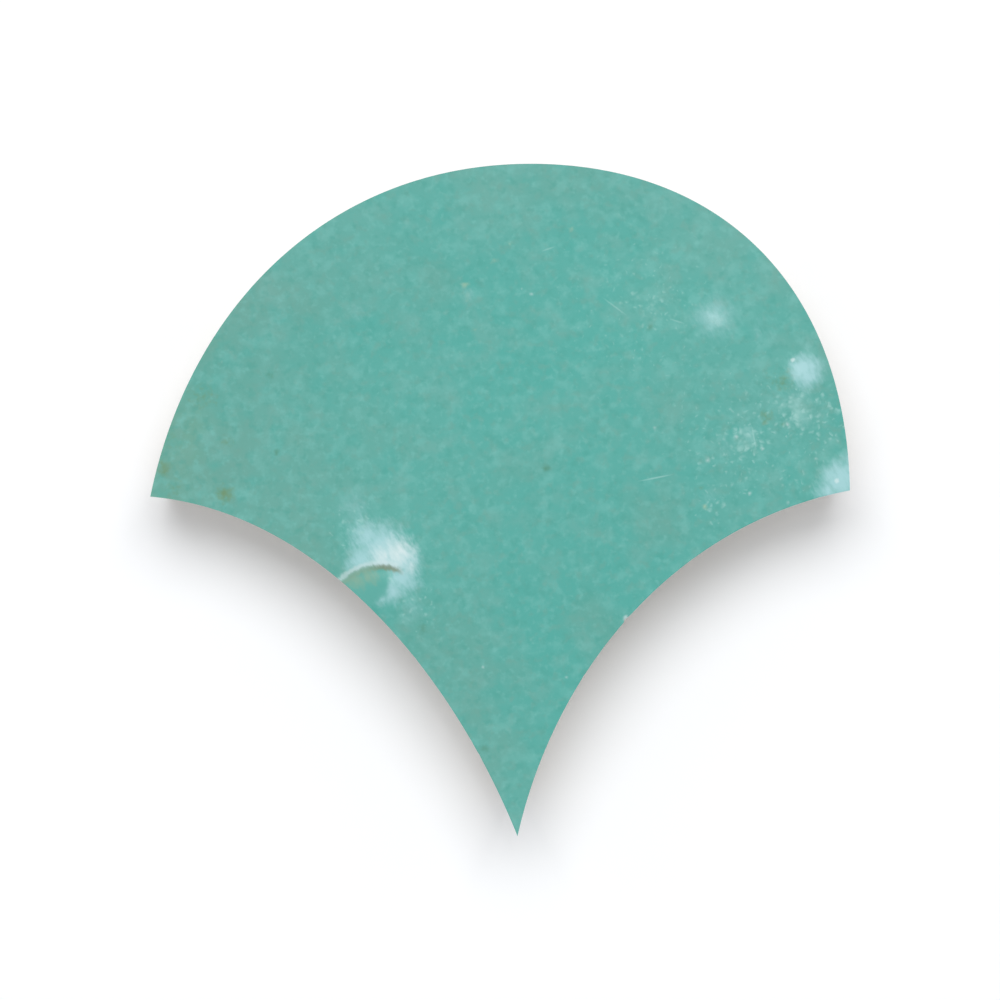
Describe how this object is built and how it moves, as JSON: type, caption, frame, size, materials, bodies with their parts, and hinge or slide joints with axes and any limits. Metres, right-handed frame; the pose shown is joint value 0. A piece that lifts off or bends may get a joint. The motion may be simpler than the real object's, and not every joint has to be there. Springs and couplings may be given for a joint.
{
  "type": "fish scale tile",
  "caption": "Fish scale tile with a round head, hollow flanks that take the neighbouring heads, undercut edges and an uneven glazed face, for cladding walls and floors.",
  "frame": {"origin": "on the back, under the middle of the outline's box", "axes": "+Z out of the glazed face, +Y from the tail to the head, +X from the left shoulder to the right"},
  "size_m": [0.0997, 0.0958, 0.0114],
  "materials": {
    "glazed_terracotta": "glossy, hand-glazed turquoise face with soft unevenness; bare pale terracotta on the cut edges and back"
  },
  "bodies": {
    "root": {"fish_scale_tile": "glazed_terracotta"}
  },
  "joints": []
}
